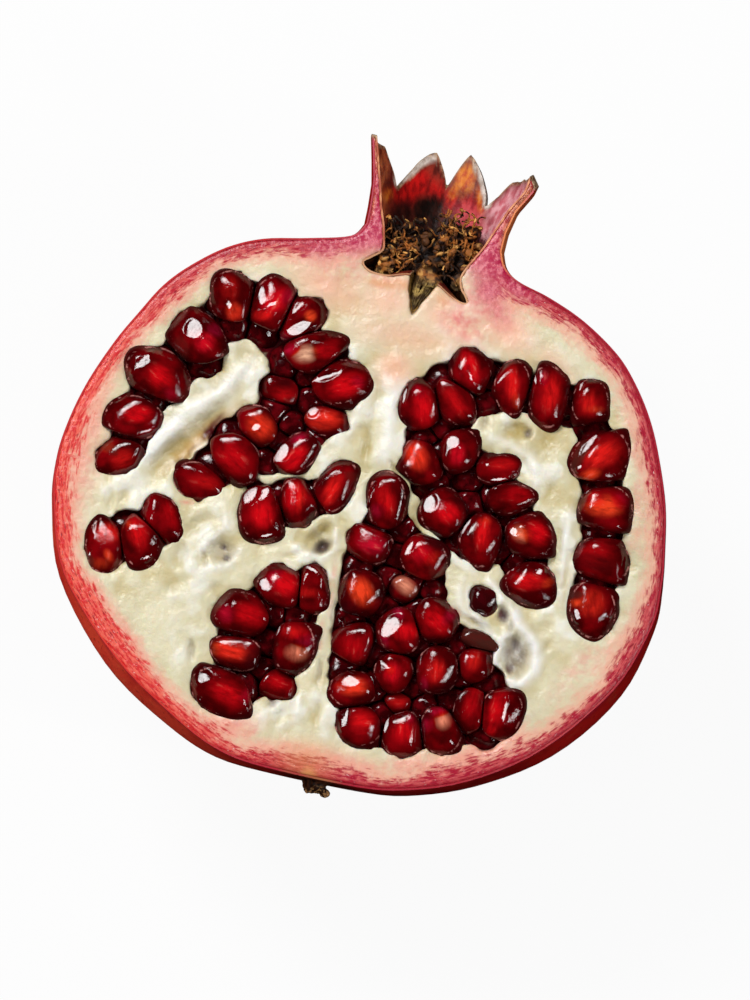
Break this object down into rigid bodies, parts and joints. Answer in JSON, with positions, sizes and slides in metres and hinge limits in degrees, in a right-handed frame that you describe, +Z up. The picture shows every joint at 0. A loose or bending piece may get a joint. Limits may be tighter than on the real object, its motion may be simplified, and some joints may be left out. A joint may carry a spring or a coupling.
{
  "type": "open pomegranate",
  "caption": "Half of a ripe pomegranate lying cut face up: leathery skin, cream pith, glossy red arils in their chambers, and a dried crown.",
  "frame": {"origin": "middle of the small flat spot on the round back that the half rests on", "axes": "+Z up, out of the cut face; +Y along the fruit from the stem to the crown; +X to the right with the cut face seen from above and the crown at the top"},
  "size_m": [0.0992, 0.1064, 0.0554],
  "materials": {
    "skin": "waxy satin fruit skin, crimson",
    "pith": "moist matt cream pith",
    "aril": "wet glossy dark red flesh",
    "stamen": "dry golden brown fibres",
    "stem": "dry brown bark"
  },
  "bodies": {
    "root": {"rind": "skin", "arils_upper_left": "aril", "arils_left": "aril", "arils_middle": "aril", "arils_lower_left": "aril", "arils_lower_right": "aril", "aril_single": "aril", "arils_right": "aril", "stamens": "stamen", "stem_stub": "stem"}
  },
  "joints": []
}
